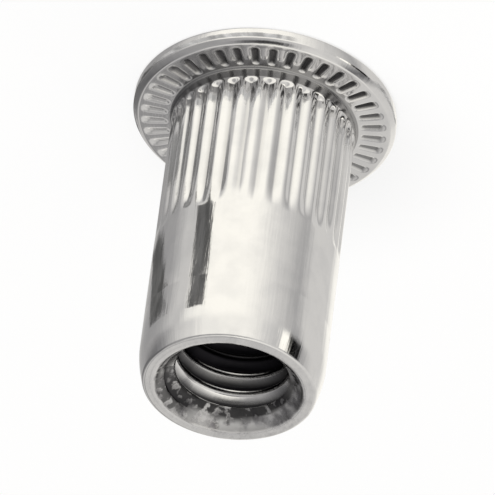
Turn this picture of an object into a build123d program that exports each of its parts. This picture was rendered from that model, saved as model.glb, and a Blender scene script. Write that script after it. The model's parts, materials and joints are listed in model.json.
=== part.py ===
from build123d import *

import os
from math import acos, pi, radians, sin, tan

# Rivet nut, M5, steel: flat round head, splined open-ended barrel, internal thread at the tail.
# It is one turned and cold-formed piece. It stands on its head: z = 0 is the flat face of
# the head, the barrel rises along +Z and the tail ring is at the top. Millimetres.

# Overall
overall_length = 13.25
body_diameter = 7.0

# Head
flange_overhang = 1.5          # how far the head stands out past the barrel
flange_thickness = 0.75
face_edge_chamfer = 0.12       # rim, on the flat side
under_edge_radius = 0.2        # rim, on the side that bears on the panel
neck_height = 0.45             # plain collar between the head and the splines
neck_chamfer = 0.1             # corner between the head and that collar

# Collapsing zone: plain counterbore entered through the head
wall_thickness = 0.6
counterbore_depth = 6.8
drill_point_angle = 118.0      # included angle of the shoulder that leads into the thread
mouth_chamfer = 0.13           # broken edge where the counterbore opens on the flat face

# Threaded zone: the bore stands at the minor diameter of an M5 x 0.8 thread
minor_diameter = 4.2
countersink_angle = 90.0       # included angle, at the tail

# Tail
tail_taper_length = 0.97       # lead that starts the barrel in its hole
tail_taper_step = 0.24         # how much that lead takes off the radius
end_ring_width = 0.26          # flat ring left between the lead and the countersink

# Splines along the collapsing zone, their ribs flush with the plain barrel
spline_count = 32
spline_length = 6.3            # from the underside of the head
spline_depth = 0.16
rib_crest_radius = 0.3
rib_root_radius = 0.08
spline_run_out = 0.6           # slope that brings them up to the plain barrel

# Radial serrations pressed into the underside of the head
serration_count = 40
serration_clearance = 0.05     # plain ring between the neck and the serrations
serration_land = 0.38          # plain ring between the serrations and the rim
serration_inner_width = 0.32   # the grooves widen outwards
serration_outer_width = 0.44
serration_depth = 0.12
serration_wall_angle = 38.0    # slope of the groove walls, off the axis of the nut

# Worked out
body_radius = body_diameter / 2
flange_radius = body_radius + flange_overhang
root_radius = body_radius - spline_depth
spline_start = flange_thickness + neck_height
spline_end = flange_thickness + spline_length
counterbore_radius = body_radius - wall_thickness
minor_radius = minor_diameter / 2
end_radius = body_radius - tail_taper_step
rib_side_angle = acos(1 - spline_depth / rib_crest_radius)
root_gap = 2 * pi * root_radius / spline_count - 2 * rib_crest_radius * sin(rib_side_angle)
root_fillet = min(rib_root_radius, 0.95 * root_gap / 2 / tan(rib_side_angle / 2))
countersink_radius = end_radius - end_ring_width
countersink_depth = (countersink_radius - minor_radius) / tan(radians(countersink_angle / 2))
shoulder_height = (counterbore_radius - minor_radius) / tan(radians(drill_point_angle / 2))
serration_start = body_radius + neck_chamfer + serration_clearance
serration_length = flange_radius - serration_land - serration_start

with BuildPart() as rivet_nut:
    # Turned blank: one half section, revolved about the axis of the nut
    with BuildSketch(Plane.XZ) as half_section:
        with BuildLine():
            Polyline(
                (counterbore_radius, mouth_chamfer),
                (counterbore_radius + mouth_chamfer, 0),
                (flange_radius - face_edge_chamfer, 0),
                (flange_radius, face_edge_chamfer),
                (flange_radius, flange_thickness),
                (body_radius + neck_chamfer, flange_thickness),
                (body_radius, flange_thickness + neck_chamfer),
                (body_radius, spline_start),
                (root_radius, spline_start),
                (root_radius, spline_end - spline_run_out),
                (body_radius, spline_end),
                (body_radius, overall_length - tail_taper_length),
                (end_radius, overall_length),
                (countersink_radius, overall_length),
                (minor_radius, overall_length - countersink_depth),
                (minor_radius, counterbore_depth + shoulder_height),
                (counterbore_radius, counterbore_depth),
                close=True,
            )
        make_face()
        rim_corner = half_section.vertices().sort_by_distance((flange_radius, flange_thickness))[0]
        fillet(rim_corner, under_edge_radius)
    revolve(axis=Axis.Z)

    # Splined band: round ribs on the root circle, with rounded roots
    with BuildSketch(Plane.XY.offset(flange_thickness)) as spline_band:
        Circle(root_radius)
        with PolarLocations(body_radius - rib_crest_radius, spline_count):
            Circle(rib_crest_radius)
        fillet(spline_band.vertices(), root_fillet)
        Circle(counterbore_radius, mode=Mode.SUBTRACT)
    extrude(amount=spline_length)

    # Serrations: wedge-shaped grooves with sloping walls, pressed into the underside of the head
    with BuildSketch(Plane.XY.offset(flange_thickness)):
        with PolarLocations(serration_start, serration_count):
            Polygon(
                (0, -serration_inner_width / 2),
                (serration_length, -serration_outer_width / 2),
                (serration_length, serration_outer_width / 2),
                (0, serration_inner_width / 2),
                align=None,
            )
    extrude(amount=-serration_depth, taper=serration_wall_angle, mode=Mode.SUBTRACT)

rivet_nut.part.label = "rivet_nut"

os.makedirs("parts", exist_ok=True)
export_step(rivet_nut.part, "parts/rivet_nut.step")
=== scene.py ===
import json
from math import atan2, cos, hypot, pi, radians, sin, tan

import bmesh
import bpy
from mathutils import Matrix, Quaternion, Vector, noise


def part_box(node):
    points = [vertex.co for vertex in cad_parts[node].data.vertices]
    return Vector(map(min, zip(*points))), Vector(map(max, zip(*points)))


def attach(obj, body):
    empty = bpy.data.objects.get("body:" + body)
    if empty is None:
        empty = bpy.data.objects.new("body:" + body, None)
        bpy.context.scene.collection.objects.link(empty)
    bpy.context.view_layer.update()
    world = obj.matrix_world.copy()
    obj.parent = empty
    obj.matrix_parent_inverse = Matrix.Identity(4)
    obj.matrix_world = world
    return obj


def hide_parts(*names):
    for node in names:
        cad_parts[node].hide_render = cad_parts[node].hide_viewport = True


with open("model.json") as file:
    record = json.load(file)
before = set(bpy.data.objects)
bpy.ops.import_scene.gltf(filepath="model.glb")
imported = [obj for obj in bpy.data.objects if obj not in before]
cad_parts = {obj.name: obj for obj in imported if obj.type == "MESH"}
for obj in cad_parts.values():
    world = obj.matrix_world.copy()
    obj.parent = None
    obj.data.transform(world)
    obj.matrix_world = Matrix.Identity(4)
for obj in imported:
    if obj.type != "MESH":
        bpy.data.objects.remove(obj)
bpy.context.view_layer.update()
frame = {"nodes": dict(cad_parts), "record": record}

millimetre = 0.001
scene = bpy.context.scene
mounts = {mount["name"]: mount for mount in frame["record"]["mounts"]}
nutLow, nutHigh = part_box("rivet_nut")
print("frame loaded:", sorted(frame["nodes"]))


# Camera: low over the tail, upside down, so that the head is at the top of the view
viewSettings = {
    "distance": 0.4544,
    "elevation": 36.93,
    "roll": -172.5,
    "lens": 880.0,
    "clip": (0.02, 20.0),
}


def addCamera(settings):
    data = bpy.data.cameras.new("camera")
    data.lens = settings["lens"]
    data.clip_start, data.clip_end = settings["clip"]
    camera = bpy.data.objects.new("camera", data)
    scene.collection.objects.link(camera)
    lift = radians(settings["elevation"])
    back = Vector((0, -cos(lift), sin(lift)))
    camera.location = (nutLow + nutHigh) / 2 + back * settings["distance"]
    camera.rotation_mode = "QUATERNION"
    upright = (-back).to_track_quat("-Z", "Y")
    camera.rotation_quaternion = upright @ Quaternion((0, 0, 1), radians(settings["roll"]))
    scene.camera = camera


addCamera(viewSettings)
print("camera ready")


# Small helpers for objects and node trees
def addObject(name, mesh):
    data = bpy.data.meshes.new(name)
    mesh.to_mesh(data)
    mesh.free()
    piece = bpy.data.objects.new(name, data)
    scene.collection.objects.link(piece)
    return piece


def hideFrom(piece, *rays):
    for ray in rays:
        setattr(piece, "visible_" + ray, False)


def addMaterial(name, empty=False):
    material = bpy.data.materials.new(name)
    material.use_nodes = True
    if empty:
        material.node_tree.nodes.clear()
    return material


def addNode(tree, kind, values=None, **settings):
    node = tree.nodes.new(kind)
    for name, value in settings.items():
        setattr(node, name, value)
    for socket, value in (values or {}).items():
        if hasattr(value, "is_output"):
            tree.links.new(value, node.inputs[socket])
        else:
            node.inputs[socket].default_value = value
    return node


def calculate(tree, operation, first, second=0.0, third=0.0):
    inputs = {0: first, 1: second, 2: third}
    return addNode(tree, "ShaderNodeMath", inputs, operation=operation).outputs[0]


def fade(tree, value, low, high, lowResult=0.0, highResult=1.0):
    inputs = {"Value": value, "From Min": low, "From Max": high, "To Min": lowResult, "To Max": highResult}
    return addNode(tree, "ShaderNodeMapRange", inputs, interpolation_type="SMOOTHSTEP").outputs["Result"]


def blend(tree, factor, first, second):
    inputs = {"Factor": factor, "A": first, "B": second}
    return addNode(tree, "ShaderNodeMix", inputs, data_type="FLOAT").outputs["Result"]


def mixColour(tree, factor, first, second):
    return addNode(tree, "ShaderNodeMix", {0: factor, 6: first, 7: second}, data_type="RGBA").outputs[2]


def mixShader(tree, factor, first, second):
    return addNode(tree, "ShaderNodeMixShader", {0: factor, 1: first, 2: second}).outputs[0]


def noiseAt(tree, place, detail, scale=1.0):
    inputs = {"Vector": place, "Scale": scale, "Detail": detail}
    return addNode(tree, "ShaderNodeTexNoise", inputs).outputs["Fac"]


def attribute(tree, name):
    return addNode(tree, "ShaderNodeAttribute", attribute_name=name).outputs["Fac"]


def separate(tree, vector):
    return addNode(tree, "ShaderNodeSeparateXYZ", {0: vector}).outputs


def combine(tree, x=0.0, y=0.0, z=0.0):
    return addNode(tree, "ShaderNodeCombineXYZ", {0: x, 1: y, 2: z}).outputs[0]


def scaleVector(tree, vector, scale):
    return addNode(tree, "ShaderNodeVectorMath", {0: vector, "Scale": scale}, operation="SCALE").outputs[0]


def lengthOf(tree, vector):
    return addNode(tree, "ShaderNodeVectorMath", {0: vector}, operation="LENGTH").outputs["Value"]


def azimuthOf(tree, parts):
    # 0 is in front of the nut, and + is towards +X
    return calculate(tree, "ARCTAN2", parts[0], calculate(tree, "MULTIPLY", parts[1], -1.0))


def whiteGlow(tree):
    return addNode(tree, "ShaderNodeEmission", {"Color": (1, 1, 1, 1), "Strength": 1.0}).outputs[0]


def clearFilm(tree):
    return addNode(tree, "ShaderNodeBsdfTransparent").outputs[0]


# The nut: one turned shell, spun from an outline, then splined, serrated and threaded
nutShape = {
    "length": (nutHigh.z - nutLow.z) / millimetre,
    "headRadius": nutHigh.x / millimetre,
    "headThickness": mounts["under_head"]["pos_m"][2] / millimetre,
    "barrelRadius": mounts["barrel"]["dims"]["r_mm"],
    "boreRadius": mounts["counterbore"]["dims"]["r_mm"],
    "crestRadius": mounts["thread"]["dims"]["r_mm"],
    "boreDepth": 6.8,
    "drillHalfAngle": 59,
    "rimBevel": 0.2,
    "tailRadius": 3.26,
    "tailLead": 0.97,
    "countersinkRadius": 2.78,
    "scribeFromTail": 2.74,
    "scribeHalfWidth": 0.04,
    "scribeDepth": 0.003,
    "steps": 480,
}

splineShape = {
    "count": 32,
    "start": 1.17,
    "end": 7.05,
    "startSlope": 0.26,
    "endSlope": 1.15,
    "depth": 0.18,
    "valleyRounding": 0.2,
    "ribRounding": 1.7,
    "endWander": 0.14,
    "depthWander": 0.08,
}

serrationShape = {
    "count": 40,
    "inner": 3.66,
    "outer": 4.68,
    "depth": 0.095,
    "backShare": 0.65,
    "depthWander": 0.06,
    "innerWidth": 0.36,
    "outerWidth": 0.48,
    "wall": 0.18,
    "innerSlope": 0.14,
    "outerSlope": 0.3,
    "dish": 0.05,
    "outerDishShare": 0.86,
}

threadShape = {
    "pitch": 0.8,
    "flankHalfAngle": 30,
    "rootRadius": 2.5,
    "seamRadius": 2.55,
    "rootFlat": 0.1,
    "start": -1.35,
    "crestRounding": 0.09,
    "rootRounding": 0.03,
    "firstCrest": 11.77,
}

# the longest step between rows of points, on each part of the outline
rowGaps = {
    "serrations": 0.06,
    "splineStart": 0.03,
    "splineEnd": 0.09,
    "barrel": 0.7,
    "elsewhere": 0.9,
}

# points closer than this are joined, and edges shorter than this are dropped, in millimetres
joinDistance = 0.0015
shortestEdge = 0.0005
sharpAngle = 50


def shoulderHeight(radius):
    shape = nutShape
    return shape["boreDepth"] + (shape["boreRadius"] - radius) / tan(radians(shape["drillHalfAngle"]))


def countersinkHeight(radius):
    return nutShape["length"] - (nutShape["countersinkRadius"] - radius)


def splineStartZone():
    return splineShape["start"] - 0.05, splineShape["start"] + splineShape["startSlope"] + 0.05


def splineEndZone():
    return splineShape["end"] - splineShape["endSlope"] - 0.1, splineShape["end"] + 0.2


def nutOutline():
    shape = nutShape
    barrel = shape["barrelRadius"]
    head = shape["headRadius"]
    top = shape["length"]
    under = shape["headThickness"]
    rim = under - serrationShape["dish"]
    seam = threadShape["seamRadius"]
    scribe = top - shape["scribeFromTail"]
    startLow, startHigh = splineStartZone()
    endLow, endHigh = splineEndZone()
    # radius, height, rounding
    return [
        (seam, countersinkHeight(seam), 0),
        (shape["countersinkRadius"], top, 0.07),
        # two rows that keep the tail ring flat between its rounded corners
        (shape["countersinkRadius"] + 0.1, top, 0),
        (shape["tailRadius"] - 0.12, top, 0),
        (shape["tailRadius"], top, 0.1),
        (barrel, top - shape["tailLead"], 0.4),
        (barrel, scribe + shape["scribeHalfWidth"], 0),
        (barrel - shape["scribeDepth"], scribe, 0),
        (barrel, scribe - shape["scribeHalfWidth"], 0),
        (barrel, endHigh, 0),
        (barrel, endLow, 0),
        (barrel, startHigh, 0),
        (barrel, startLow, 0),
        (barrel, under, 0.12),
        (serrationShape["inner"], under, 0),
        (serrationShape["outer"], under - serrationShape["outerDishShare"] * serrationShape["dish"], 0),
        (head - shape["rimBevel"], rim, 0.04),
        (head, rim - shape["rimBevel"], 0.06),
        (head, 0, 0.12),
        (shape["boreRadius"], 0, 0.14),
        (shape["boreRadius"], shape["boreDepth"], 0.05),
        (seam, shoulderHeight(seam), 0),
    ]


def rowGap(radius, height):
    barrel = nutShape["barrelRadius"]
    if serrationShape["inner"] - 0.02 < radius < serrationShape["outer"] + 0.05 and height > 0.5:
        return rowGaps["serrations"]
    if radius < barrel - 0.05 or radius > barrel + 0.05:
        return rowGaps["elsewhere"]
    for name, (low, high) in (("splineStart", splineStartZone()), ("splineEnd", splineEndZone())):
        if low < height < high:
            return rowGaps[name]
    return rowGaps["barrel"]


def addChain(mesh, corners):
    verts = [mesh.verts.new((corner[0], 0, corner[1])) for corner in corners]
    for first, second in zip(verts, verts[1:]):
        mesh.edges.new((first, second))
    return verts


def roundCorner(mesh, vert, rounding, segments):
    bmesh.ops.bevel(
        mesh, geom=[vert], offset=rounding, offset_type="OFFSET", segments=segments, profile=0.5,
        affect="VERTICES", material=-1, clamp_overlap=False,
    )


def spinShell():
    shell = bmesh.new()
    outline = nutOutline()
    for vert, corner in zip(addChain(shell, outline), outline):
        rounding = corner[2]
        if rounding:
            roundCorner(shell, vert, rounding, 3 if rounding < 0.1 else 5)
    for edge in shell.edges[:]:
        middle = (edge.verts[0].co + edge.verts[1].co) / 2
        cuts = int(edge.calc_length() / rowGap(middle.x, middle.z))
        if cuts:
            bmesh.ops.subdivide_edges(shell, edges=[edge], cuts=cuts)
    bmesh.ops.spin(
        shell, geom=shell.verts[:] + shell.edges[:], cent=(0, 0, 0), axis=(0, 0, 1),
        dvec=(0, 0, 0), angle=2 * pi, steps=nutShape["steps"], use_merge=True,
    )
    return shell


def smooth(value):
    value = min(max(value, 0.0), 1.0)
    return value * value * (3 - 2 * value)


def fromCentre(angle, count):
    # which groove this angle is nearest, and how far off its centre it is: 1 is half-way to the next
    turns = angle / (2 * pi) * count
    nearest = round(turns)
    return nearest % count, 2 * (turns - nearest)


def pressSplines(shell):
    shape = splineShape
    for vert in shell.verts:
        x, y, z = vert.co
        radius = hypot(x, y)
        if radius < nutShape["barrelRadius"] - 0.02 or radius > nutShape["barrelRadius"] + 0.01:
            continue
        if not shape["start"] < z < shape["end"] + 0.2:
            continue
        groove, off = fromCentre(atan2(y, x), shape["count"])
        end = shape["end"] + shape["endWander"] * noise.noise(Vector((groove * 3.7, 0.5, 0)))
        fall = min((end - z) / shape["endSlope"], 1.0)
        if fall <= 0:
            continue
        fall = fall * (2 - fall)
        rise = smooth((z - shape["start"]) / shape["startSlope"])
        wander = noise.noise(Vector((groove * 2.3, 4.5, z * 0.3)))
        depth = shape["depth"] * (1 + shape["depthWander"] * wander)
        fromRib = max(1 - hypot(off, shape["valleyRounding"]), 0.0)
        sink = depth * fall * rise * fromRib ** shape["ribRounding"]
        vert.co.x *= (radius - sink) / radius
        vert.co.y *= (radius - sink) / radius


def pressSerrations(shell):
    shape = serrationShape
    for vert in shell.verts:
        x, y, z = vert.co
        radius = hypot(x, y)
        if not shape["inner"] < radius < shape["outer"] or z < nutShape["headThickness"] - 0.1:
            continue
        groove, off = fromCentre(atan2(y, x), shape["count"])
        along = (radius - shape["inner"]) / (shape["outer"] - shape["inner"])
        width = shape["innerWidth"] + (shape["outerWidth"] - shape["innerWidth"]) * along
        side = abs(off) * pi * radius / shape["count"]
        across = smooth((width / 2 - side) / shape["wall"])
        rise = smooth((radius - shape["inner"]) / shape["innerSlope"])
        fall = smooth((shape["outer"] - radius) / shape["outerSlope"])
        # pressed deeper in front than behind
        front = shape["backShare"] + (1 - shape["backShare"]) * smooth(-1.3 * y / radius)
        wander = 1 + shape["depthWander"] * noise.noise(Vector((groove * 1.9, 7.5, 0)))
        vert.co.z -= shape["depth"] * front * across * rise * fall * wander


def cutThread():
    shape = threadShape
    pitch = shape["pitch"]
    crest = nutShape["crestRadius"]
    root = shape["rootRadius"]
    seam = shape["seamRadius"]
    flank = (root - crest) * tan(radians(shape["flankHalfAngle"]))
    crestFlat = pitch - 2 * flank - shape["rootFlat"]
    low = shoulderHeight(seam)
    high = countersinkHeight(seam)
    tooth = [
        (crest, 0, shape["crestRounding"]),
        (crest, crestFlat, shape["crestRounding"]),
        (root, crestFlat + flank, shape["rootRounding"]),
        (root, crestFlat + flank + shape["rootFlat"], shape["rootRounding"]),
    ]
    turns = int((high - low) / pitch) + 3
    corners = [
        (radius, low + (shape["start"] + turn) * pitch + height, rounding)
        for turn in range(turns)
        for radius, height, rounding in tooth
    ]
    thread = bmesh.new()
    verts = addChain(thread, corners)
    for vert, corner in zip(verts[1:-1], corners[1:-1]):
        roundCorner(thread, vert, corner[2], 2 if corner[0] < root else 1)
    bmesh.ops.spin(
        thread, geom=thread.verts[:] + thread.edges[:], cent=(0, 0, 0), axis=(0, 0, 1),
        dvec=(0, 0, pitch / nutShape["steps"]), angle=2 * pi, steps=nutShape["steps"], use_merge=False,
    )
    # what passes the countersink or the shoulder is laid down on it
    shoulderSlope = tan(radians(nutShape["drillHalfAngle"]))
    for vert in thread.verts:
        x, y, z = vert.co
        radius = hypot(x, y)
        z = min(max(z, low), high)
        cone = min(seam, nutShape["countersinkRadius"] - (nutShape["length"] - z))
        shoulder = min(seam, nutShape["boreRadius"] - (z - nutShape["boreDepth"]) * shoulderSlope)
        wanted = max(radius, cone, shoulder)
        vert.co = (x * wanted / radius, y * wanted / radius, z)
    return thread


# Painted shade and wear by place: painted shade darkens the plating in hollows, gaps, under the head and
# on one side, and scuff makes it rough and blotchy
paintedShadePatches = {
    # centre, reach and strength; the patches of painted shade on the splines and head are placed by
    # direction from the axis
    "countersinkSideShade": ((2.3, 1.3), 1.9, 1.2),
    "splineSideShade": ((0.64, -0.77), 0.4, 1.6),
    "headSideShade": ((0.67, -0.74), 0.4, 1.6),
}

shadeAndWearShape = {
    # how close to a surface, in millimetres, a point counts as on it
    "margin": 0.02,
    "coneMargin": 0.04,
    "collarWidth": 0.12,
    "lipFrom": 12.5,
    "scuffFrom": 12.3,
    # how much painted shade each place has, and how far it fades
    "boreShade": 0.75,
    "boreFade": 3.5,
    "sideShade": 0.75,
    "gapShade": 0.9,
    "gapRadius": 2.36,
    "gapFade": 0.08,
    "firstTurnShade": 0.95,
    "firstTurnFade": 0.1,
    "crestLit": 0.92,
    "crestHeight": 0.026,
    "crestFade": 0.08,
    "backLip": 0.3,
    "frontLip": 0.65,
    "lipInset": 0.06,
    "lipWidth": 0.08,
    "frontLipWidth": 0.06,
    "collarShade": 0.55,
    "splineValleyShade": 0.45,
    "splineSideShade": 0.4,
    "serrationShade": 0.15,
    "frontSerrations": 0.7,
    "sideSerrations": 0.5,
    "mostSerrations": 0.95,
    "headSideShade": 0.28,
    "rimShade": 0.5,
    "rimShadeFrom": 4.6,
    "rimShadeFade": 0.07,
    "rimShadeReach": 0.3,
    "ringScuff": 0.1,
    "backRingScuff": 0.3,
}


def patch(name, x, y):
    centre, reach, strength = paintedShadePatches[name]
    return smooth(strength - hypot(x - centre[0], y - centre[1]) / reach)


def threadPaintedShade(x, y, z):
    # painted shade between the turns and deep down, heavier behind, with the crests of the first turns
    # left bright as if lit
    shadeAndWear = shadeAndWearShape
    radius = hypot(x, y)
    if z > countersinkHeight(radius) - shadeAndWear["coneMargin"]:
        behind = smooth(0.6 + y / 2.5)
        gap = shadeAndWear["gapShade"] * behind * (1 - smooth((radius - shadeAndWear["gapRadius"]) / shadeAndWear["gapFade"]))
        return max(shadeAndWear["sideShade"] * patch("countersinkSideShade", x, y), gap)
    turn = ((atan2(y, x) + pi / 2) % (2 * pi) - pi / 2) / (2 * pi)
    below = (threadShape["firstCrest"] - z) / threadShape["pitch"] + turn
    if below < 0.5:
        return shadeAndWear["firstTurnShade"] * smooth((radius - shadeAndWear["gapRadius"]) / shadeAndWear["firstTurnFade"])
    aboveCrest = radius - nutShape["crestRadius"] - shadeAndWear["crestHeight"]
    onCrest = 1 - smooth(aboveCrest / shadeAndWear["crestFade"])
    return 1 - shadeAndWear["crestLit"] * onCrest * smooth(2.0 - below)


def countersinkPaintedShade(x, y):
    # painted shade, darker on one side, and a painted dark line round the lip, broader in front
    shadeAndWear = shadeAndWearShape
    radius = hypot(x, y)
    front = smooth(0.8 - 1.2 * y / radius)
    fromLip = abs(radius - nutShape["countersinkRadius"] + shadeAndWear["lipInset"])
    lip = 1 - smooth(fromLip / (shadeAndWear["lipWidth"] + shadeAndWear["frontLipWidth"] * front))
    sideShade = shadeAndWear["sideShade"] * patch("countersinkSideShade", x, y)
    return max((shadeAndWear["backLip"] + shadeAndWear["frontLip"] * front) * lip, sideShade)


def splineValleyShade(x, y):
    shadeAndWear = shadeAndWearShape
    radius = hypot(x, y)
    # painted shade in the valleys between the ribs, heavier on one side
    valleyShade = shadeAndWear["splineValleyShade"] + shadeAndWear["splineSideShade"] * patch("splineSideShade", x / radius, y / radius)
    return valleyShade * smooth((nutShape["barrelRadius"] - radius) / splineShape["depth"] - 0.3)


def headPaintedShade(x, y, z):
    # painted shade under the head: most in the serrations, some on the lands in front, towards +X
    shadeAndWear = shadeAndWearShape
    shape = serrationShape
    radius = hypot(x, y)
    along = (radius - shape["inner"]) / (shape["outer"] - shape["inner"])
    surface = nutShape["headThickness"] - shape["outerDishShare"] * shape["dish"] * max(along, 0.0)
    sunk = smooth(1.6 * (surface - z) / shape["depth"] - 0.15)
    grooves = (
        shadeAndWear["serrationShade"]
        + shadeAndWear["frontSerrations"] * smooth(-1.3 * y / radius - 0.1)
        + shadeAndWear["sideSerrations"] * smooth(-1.2 * x / radius)
    )
    lands = shadeAndWear["headSideShade"] * patch("headSideShade", x / radius, y / radius)
    nearRim = smooth((radius - shadeAndWear["rimShadeFrom"]) / shadeAndWear["rimShadeFade"])
    inFront = (1 - smooth(abs(x / radius) / shadeAndWear["rimShadeReach"])) * smooth(-y)
    return max(min(grooves, shadeAndWear["mostSerrations"]) * sunk, lands, shadeAndWear["rimShade"] * nearRim * inFront)


# painted shade: how far each point of the nut is darkened to stand for shade
def paintedShadeAt(x, y, z):
    shadeAndWear = shadeAndWearShape
    radius = hypot(x, y)
    barrel = nutShape["barrelRadius"]
    collar = barrel + shadeAndWear["collarWidth"]
    seam = threadShape["seamRadius"]
    splineStart = splineShape["start"]
    if radius < nutShape["boreRadius"] + shadeAndWear["margin"] and z < shoulderHeight(seam):
        # painted shade, darker deeper in the counterbore
        return shadeAndWear["boreShade"] * smooth(z / shadeAndWear["boreFade"])
    if radius < seam + shadeAndWear["margin"]:
        return threadPaintedShade(x, y, z)
    if radius < nutShape["countersinkRadius"] + shadeAndWear["margin"] and z > shadeAndWear["lipFrom"]:
        return countersinkPaintedShade(x, y)
    if radius < collar and nutShape["headThickness"] - shadeAndWear["margin"] < z < splineStart:
        # painted shade on the collar under the head
        return shadeAndWear["collarShade"]
    if radius < barrel and splineStart <= z < splineShape["end"]:
        return splineValleyShade(x, y)
    if collar < radius < serrationShape["outer"] + shadeAndWear["margin"] and z > 0.4:
        return headPaintedShade(x, y, z)
    return 0.0


def scuffAt(x, y, z):
    # most on the countersink, and a little on the tail ring, least towards +X
    shadeAndWear = shadeAndWearShape
    radius = hypot(x, y)
    inside = radius < nutShape["countersinkRadius"] + 0.03
    if inside and z > shadeAndWear["scuffFrom"] and z > countersinkHeight(radius) - shadeAndWear["coneMargin"]:
        return 1.0
    if z > nutShape["length"] - 0.1:
        behind = smooth(0.3 + y / 4)
        return (shadeAndWear["ringScuff"] + shadeAndWear["backRingScuff"] * behind) * smooth(0.9 - x / 2)
    return 0.0


def markShadeAndWear(data):
    places = [vert.co / millimetre for vert in data.vertices]
    for name, amountAt in (("paintedShade", paintedShadeAt), ("scuff", scuffAt)):
        layer = data.attributes.new(name, "FLOAT", "POINT")
        layer.data.foreach_set("value", [amountAt(*place) for place in places])


def addNut():
    shell = spinShell()
    print("nut shell spun:", len(shell.verts), "points")
    pressSplines(shell)
    pressSerrations(shell)
    thread = cutThread()
    print("nut thread cut:", len(thread.verts), "points")
    threadPart = bpy.data.meshes.new("threadPart")
    thread.to_mesh(threadPart)
    thread.free()
    shell.from_mesh(threadPart)
    bpy.data.meshes.remove(threadPart)
    bmesh.ops.remove_doubles(shell, verts=shell.verts[:], dist=joinDistance)
    bmesh.ops.dissolve_degenerate(shell, edges=shell.edges[:], dist=shortestEdge)
    bmesh.ops.recalc_face_normals(shell, faces=shell.faces[:])
    openEdges = sum(1 for edge in shell.edges if len(edge.link_faces) != 2)
    print("nut joined:", len(shell.faces), "faces,", openEdges, "edges open or shared")
    bmesh.ops.scale(shell, vec=(millimetre,) * 3, verts=shell.verts[:])
    piece = addObject("rivetNut", shell)
    piece.data.shade_smooth()
    piece.data.set_sharp_from_angle(angle=radians(sharpAngle))
    markShadeAndWear(piece.data)
    return piece


# Bright zinc plating: soft cloudy tone, drawing lines along the barrel, turning marks on the flats
platingFinish = {
    "bright": (0.895, 0.888, 0.88, 1),
    "dull": (0.82, 0.816, 0.815, 1),
    # the near-black colour of the painted shade
    "paintedShade": (0.018, 0.017, 0.02, 1),
    "blotch": (0.2, 0.19, 0.2, 1),
    "roughness": 0.07,
    "lineRoughness": 0.06,
    "paintedShadeRoughness": 0.25,
    "frost": 0.36,
    # depths, in millimetres
    "drawingLines": 0.008,
    "turningMarks": 0.002,
    "speckle": 0.0015,
    "pitting": 0.01,
    # how closely each pattern is packed
    "linesAround": 18.0,
    "linesAlong": 0.35,
    "marksAcross": 11.0,
    "marksAlong": 3.0,
    "speckleScale": 7.0,
    "patchScale": 1.7,
    "cloudScale": 0.9,
    "scratchScale": 3.4,
    # between which values each pattern fades in
    "flatEdges": (0.6, 0.9),
    "lineEdges": (0.3, 0.7),
    "blotchEdges": (0.38, 0.66),
    "cloudEdges": (0.35, 0.7),
    "scratchEdges": (0.5, 0.62),
    "frostEdges": (0.34, 0.58),
    # how much of the blotches' colour shows, and how much of the painted shade is scratched off
    "blotchShare": 0.8,
    "scratchShare": 0.8,
    # how much of the frost the blotches keep
    "frostLeft": 0.25,
}


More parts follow.
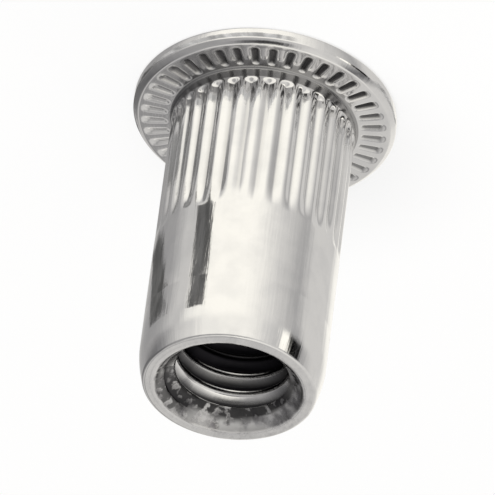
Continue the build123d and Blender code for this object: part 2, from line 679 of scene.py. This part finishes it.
def platedSteel(finish):
    material = addMaterial("platedSteel")
    tree = material.node_tree
    shader = tree.nodes["Principled BSDF"]
    shader.inputs["Metallic"].default_value = 1.0
    place = addNode(tree, "ShaderNodeTexCoord")
    point = scaleVector(tree, place.outputs["Object"], 1 / millimetre)
    x, y, z = separate(tree, point)
    flat = combine(tree, x, y)
    around = addNode(tree, "ShaderNodeVectorMath", {0: flat}, operation="NORMALIZE").outputs[0]
    upright = calculate(tree, "ABSOLUTE", separate(tree, place.outputs["Normal"])[2])
    scuff = attribute(tree, "scuff")
    paintedShade = attribute(tree, "paintedShade")
    patches = noiseAt(tree, point, 3.0, finish["patchScale"])
    blotches = calculate(tree, "MULTIPLY", fade(tree, patches, *finish["blotchEdges"]), scuff)
    # lines drawn along the barrel
    drawn = addNode(tree, "ShaderNodeVectorMath", {
        0: scaleVector(tree, around, finish["linesAround"]),
        1: combine(tree, z=calculate(tree, "MULTIPLY", z, finish["linesAlong"])),
    }, operation="ADD").outputs[0]
    lines = noiseAt(tree, drawn, 3.0)
    # rings turned on the flats
    turned = combine(
        tree,
        calculate(tree, "MULTIPLY", lengthOf(tree, flat), finish["marksAcross"]),
        calculate(tree, "MULTIPLY", z, finish["marksAlong"]),
    )
    rings = noiseAt(tree, turned, 2.0)
    # relief
    lineHeight = calculate(tree, "MULTIPLY", lines, finish["drawingLines"])
    ringHeight = calculate(tree, "MULTIPLY", rings, finish["turningMarks"])
    height = blend(tree, fade(tree, upright, *finish["flatEdges"]), lineHeight, ringHeight)
    speckle = noiseAt(tree, point, 2.0, finish["speckleScale"])
    height = calculate(tree, "MULTIPLY_ADD", speckle, finish["speckle"], height)
    height = calculate(tree, "MULTIPLY_ADD", blotches, -finish["pitting"], height)
    bump = addNode(tree, "ShaderNodeBump", {"Height": height, "Strength": 1.0, "Distance": millimetre})
    tree.links.new(bump.outputs[0], shader.inputs["Normal"])
    # tone
    cloud = noiseAt(tree, point, 3.0, finish["cloudScale"])
    scratches = noiseAt(tree, point, 3.0, finish["scratchScale"])
    scratches = fade(tree, scratches, *finish["scratchEdges"])
    scratched = calculate(tree, "MULTIPLY", scratches, scuff)
    kept = calculate(tree, "MULTIPLY_ADD", scratched, -finish["scratchShare"], 1.0)
    paintedShade = calculate(tree, "MULTIPLY", paintedShade, kept)
    tone = mixColour(tree, fade(tree, cloud, *finish["cloudEdges"]), finish["bright"], finish["dull"])
    blotched = calculate(tree, "MULTIPLY", blotches, finish["blotchShare"])
    tone = mixColour(tree, blotched, tone, finish["blotch"])
    # painted shade: the plating darkened towards near black where points are marked for shade in hollows,
    # gaps and on one side
    tone = mixColour(tree, paintedShade, tone, finish["paintedShade"])
    tree.links.new(tone, shader.inputs["Base Color"])
    # gloss
    roughest = finish["roughness"] + finish["lineRoughness"]
    gloss = fade(tree, lines, *finish["lineEdges"], finish["roughness"], roughest)
    frosted = fade(tree, patches, *finish["frostEdges"], 1.0, finish["frostLeft"])
    frosted = calculate(tree, "MULTIPLY", frosted, scuff)
    gloss = calculate(tree, "MULTIPLY_ADD", frosted, finish["frost"], gloss)
    gloss = calculate(tree, "MULTIPLY_ADD", paintedShade, finish["paintedShadeRoughness"], gloss)
    tree.links.new(gloss, shader.inputs["Roughness"])
    return material


nut = addNut()
nut.data.materials.append(platedSteel(platingFinish))
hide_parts("rivet_nut")
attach(nut, "root")
print("nut placed")


# Studio: a light tent with grey and dark gaps round the nut, over a plain white floor
studioRings = {
    # the brightness at each azimuth, from low down to overhead; 0 is in front, and + is towards +X
    "low": [
        (-180, 0.8), (-168, 1.05), (-150, 1.0), (-134, 0.65), (-90, 0.66), (-74, 0.42), (-40, 0.72),
        (-16, 1.0), (0, 1.1), (50, 1.1), (62, 0.95), (74, 0.6), (84, 0.62), (93, 0.5), (104, 0.38),
        (130, 0.34), (150, 0.38), (166, 0.5), (180, 0.8),
    ],
    "level": [
        (-180, 0.85), (-150, 0.9), (-125, 0.7), (-104, 0.62), (-86, 0.4), (-82, 0.01), (-67, 0.0),
        (-63, 1.2), (-56, 1.2), (-50, 0.58), (-36, 0.72), (-20, 1.0), (40, 1.0), (55, 0.76), (72, 0.62),
        (88, 0.38), (105, 0.2), (128, 0.15), (142, 0.18), (156, 0.45), (180, 0.85),
    ],
    "high": [
        (-180, 0.62), (-150, 0.66), (-125, 0.7), (-100, 0.65), (-90, 0.3), (-84, 0.13), (-78, 0.2),
        (-66, 0.6), (-40, 0.7), (-20, 0.62), (0, 0.5), (30, 0.42), (60, 0.34), (84, 0.34), (104, 0.22),
        (121, 0.12), (140, 0.22), (154, 0.55), (166, 0.55), (172, 0.28), (176.5, 0.3), (180, 0.64),
    ],
    "upper": [
        (-180, 0.4), (-172, 0.45), (-156, 0.7), (-90, 0.8), (-60, 0.7), (-30, 0.72), (-16, 0.35),
        (-8, 0.05), (10, 0.04), (30, 0.12), (44, 0.33), (60, 0.37), (110, 0.35), (150, 0.55),
        (172, 0.55), (180, 0.5),
    ],
    "top": [
        (-180, 0.4), (-150, 0.7), (-90, 0.9), (0, 1.0), (60, 0.8), (120, 0.6), (160, 0.4), (180, 0.4),
    ],
}

# the elevations, in degrees, over which each ring fades into the next
ringFades = [("level", -25, -15), ("high", 6, 22), ("upper", 45, 50), ("top", 57, 64)]


def tentColour(brightness):
    # bright parts of the tent are a little warm, and its dark gaps a little cool
    return brightness, brightness * (0.99 - 0.012 * brightness), brightness * (1.02 - 0.1 * brightness), 1


def ringRamp(tree, turn, stops):
    ramp = addNode(tree, "ShaderNodeValToRGB", {"Fac": turn})
    bar = ramp.color_ramp
    places = [(azimuth / 360 + 0.5, brightness) for azimuth, brightness in stops]
    bar.elements[0].position, bar.elements[-1].position = places[0][0], places[-1][0]
    for position, brightness in places[1:-1]:
        bar.elements.new(position)
    for element, (position, brightness) in zip(bar.elements, places):
        element.position = position
        element.color = tentColour(brightness)
    return ramp.outputs["Color"]


def addStudioWorld():
    world = bpy.data.worlds.new("studio")
    scene.world = world
    world.use_nodes = True
    tree = world.node_tree
    tree.nodes.clear()
    parts = separate(tree, addNode(tree, "ShaderNodeTexCoord").outputs["Generated"])
    turn = calculate(tree, "MULTIPLY_ADD", azimuthOf(tree, parts), 1 / (2 * pi), 0.5)
    colour = ringRamp(tree, turn, studioRings["low"])
    for name, start, end in ringFades:
        above = fade(tree, parts[2], sin(radians(start)), sin(radians(end)))
        colour = mixColour(tree, above, colour, ringRamp(tree, turn, studioRings[name]))
    background = addNode(tree, "ShaderNodeBackground", {"Color": colour, "Strength": 1.0})
    addNode(tree, "ShaderNodeOutputWorld", {"Surface": background.outputs[0]})


floorSettings = {"radius": 4.0, "colour": (0.85, 0.85, 0.85, 1), "shine": 0.7}


def addFloor(settings):
    plane = bmesh.new()
    bmesh.ops.create_circle(plane, cap_ends=True, segments=96, radius=settings["radius"])
    floor = addObject("floor", plane)
    material = addMaterial("whitePaper", empty=True)
    tree = material.node_tree
    path = addNode(tree, "ShaderNodeLightPath").outputs
    seen = calculate(tree, "MAXIMUM", path["Is Camera Ray"], path["Is Glossy Ray"])
    seen = calculate(tree, "MAXIMUM", seen, path["Is Transmission Ray"])
    paper = addNode(tree, "ShaderNodeBsdfDiffuse", {"Color": settings["colour"]}).outputs[0]
    share = calculate(tree, "MULTIPLY", seen, settings["shine"])
    lit = mixShader(tree, share, paper, whiteGlow(tree))
    # clear from underneath, so that the flat face of the head can be looked at
    below = addNode(tree, "ShaderNodeNewGeometry").outputs["Backfacing"]
    surface = mixShader(tree, below, lit, clearFilm(tree))
    addNode(tree, "ShaderNodeOutputMaterial", {"Surface": surface})
    floor.data.materials.append(material)
    hideFrom(floor, "glossy")


backdropSettings = {"radius": 0.38}


def addBackdrop(settings):
    # a plain white surround for what the camera sees past the floor, clear from its outside
    dome = bmesh.new()
    bmesh.ops.create_uvsphere(dome, u_segments=48, v_segments=24, radius=settings["radius"])
    backdrop = addObject("backdrop", dome)
    material = addMaterial("whiteCloth", empty=True)
    tree = material.node_tree
    inside = addNode(tree, "ShaderNodeNewGeometry").outputs["Backfacing"]
    surface = mixShader(tree, inside, clearFilm(tree), whiteGlow(tree))
    addNode(tree, "ShaderNodeOutputMaterial", {"Surface": surface})
    backdrop.data.materials.append(material)
    hideFrom(backdrop, "diffuse", "glossy", "transmission", "shadow")


# Dark cards lying on the floor, streaky and soft at their edges, which only reflections see.
# Azimuths in degrees, radii in millimetres, how far the outer end is turned, the share of the
# width that fades at each side, and shade
cardSettings = [
    {"turns": (40, 66), "radii": (10.2, 23.0), "twist": 0, "fades": (0.2, 0.45), "shade": 0.09},
    {"turns": (116, 158), "radii": (10.2, 20.0), "twist": -37, "fades": (0.3, 0.2), "shade": 0.09},
    {"turns": (60, 100), "radii": (6.0, 10.4), "twist": 0, "fades": (0.2, 0.25), "shade": 0.2},
    {"turns": (-20, 66), "radii": (5.0, 6.0), "twist": 0, "fades": (0.3, 0.2), "shade": 0.48},
    {"turns": (56, 124), "radii": (5.0, 6.0), "twist": 0, "fades": (0.2, 0.2), "shade": 0.11},
    {"turns": (-92, -48), "radii": (5.0, 6.0), "twist": 0, "fades": (0.3, 0.3), "shade": 0.4},
]

# what all the cards share
cardFinish = {
    "lift": 0.0002,
    "roughness": 0.9,
    "innerFade": 0.2,
    "outerFade": 0.3,
    "streaksAround": 9.0,
    "streaksOut": 220.0,
    "streakEdges": (0.35, 0.65),
    "streakShades": (0.7, 1.4),
    "solidShare": 0.35,
    "solidGain": 1.5,
    "raggedness": 1.4,
    "alphaEdges": (0.05, 0.75),
}


def markCard(data, settings):
    # how far inside its edges each point is, from 0 to 1
    first, last = settings["turns"]
    inner, outer = settings["radii"]
    fades = settings["fades"]
    layer = data.attributes.new("inside", "FLOAT", "POINT")
    for vert, value in zip(data.vertices, layer.data):
        along = (hypot(vert.co.x, vert.co.y) / millimetre - inner) / (outer - inner)
        start = radians(first + settings["twist"] * along)
        azimuth = (atan2(vert.co.x, -vert.co.y) - start) % (2 * pi)
        across = min(azimuth / radians(last - first), 1.0) if azimuth < pi else 0.0
        sides = min(across / fades[0], (1 - across) / fades[1])
        ends = min(along / cardFinish["innerFade"], (1 - along) / cardFinish["outerFade"])
        value.value = min(sides, ends, 1.0)


def cardMaterial(name, shade):
    finish = cardFinish
    dark, light = finish["streakShades"]
    material = addMaterial(name)
    tree = material.node_tree
    shader = tree.nodes["Principled BSDF"]
    shader.inputs["Roughness"].default_value = finish["roughness"]
    parts = separate(tree, addNode(tree, "ShaderNodeTexCoord").outputs["Object"])
    size = lengthOf(tree, combine(tree, parts[0], parts[1]))
    polar = combine(
        tree,
        calculate(tree, "MULTIPLY", azimuthOf(tree, parts), finish["streaksAround"]),
        calculate(tree, "MULTIPLY", size, finish["streaksOut"]),
    )
    streaks = noiseAt(tree, polar, 4.0)
    lightness = fade(tree, streaks, *finish["streakEdges"], shade * dark, shade * light)
    tree.links.new(lightness, shader.inputs["Base Color"])
    inside = attribute(tree, "inside")
    inside = calculate(tree, "MULTIPLY_ADD", inside, finish["solidGain"], finish["solidShare"])
    ragged = calculate(tree, "MULTIPLY_ADD", streaks, -finish["raggedness"], inside)
    tree.links.new(fade(tree, ragged, *finish["alphaEdges"]), shader.inputs["Alpha"])
    return material


def addCard(name, settings):
    first, last = settings["turns"]
    inner, outer = settings["radii"]
    card = bmesh.new()
    ends = []
    for size, azimuth in ((inner, first), (outer, first + settings["twist"])):
        turn = radians(azimuth - 90)
        place = cos(turn) * size * millimetre, sin(turn) * size * millimetre, cardFinish["lift"]
        ends.append(card.verts.new(place))
    edge = card.edges.new(ends)
    bmesh.ops.subdivide_edges(card, edges=[edge], cuts=7)
    bmesh.ops.spin(
        card, geom=card.verts[:] + card.edges[:], cent=(0, 0, 0), axis=(0, 0, 1), dvec=(0, 0, 0),
        angle=radians(last - first), steps=24, use_merge=False,
    )
    piece = addObject(name, card)
    markCard(piece.data, settings)
    piece.data.materials.append(cardMaterial(name, settings["shade"]))
    hideFrom(piece, "camera", "diffuse", "shadow")


softBoxSettings = {"size": 0.5, "energy": 4.5, "place": (0.1, -0.15, 0.8)}


def addSoftBox(settings):
    data = bpy.data.lights.new("softBox", "AREA")
    data.shape = "DISK"
    data.size = settings["size"]
    data.energy = settings["energy"]
    lamp = bpy.data.objects.new("softBox", data)
    scene.collection.objects.link(lamp)
    lamp.location = settings["place"]
    lamp.rotation_mode = "QUATERNION"
    lamp.rotation_quaternion = (-lamp.location).to_track_quat("-Z", "Y")
    hideFrom(lamp, "glossy")


addStudioWorld()
addFloor(floorSettings)
addBackdrop(backdropSettings)
for number, settings in enumerate(cardSettings, 1):
    addCard("card" + str(number), settings)
addSoftBox(softBoxSettings)
scene.view_settings.view_transform = "Standard"
print("studio lit")
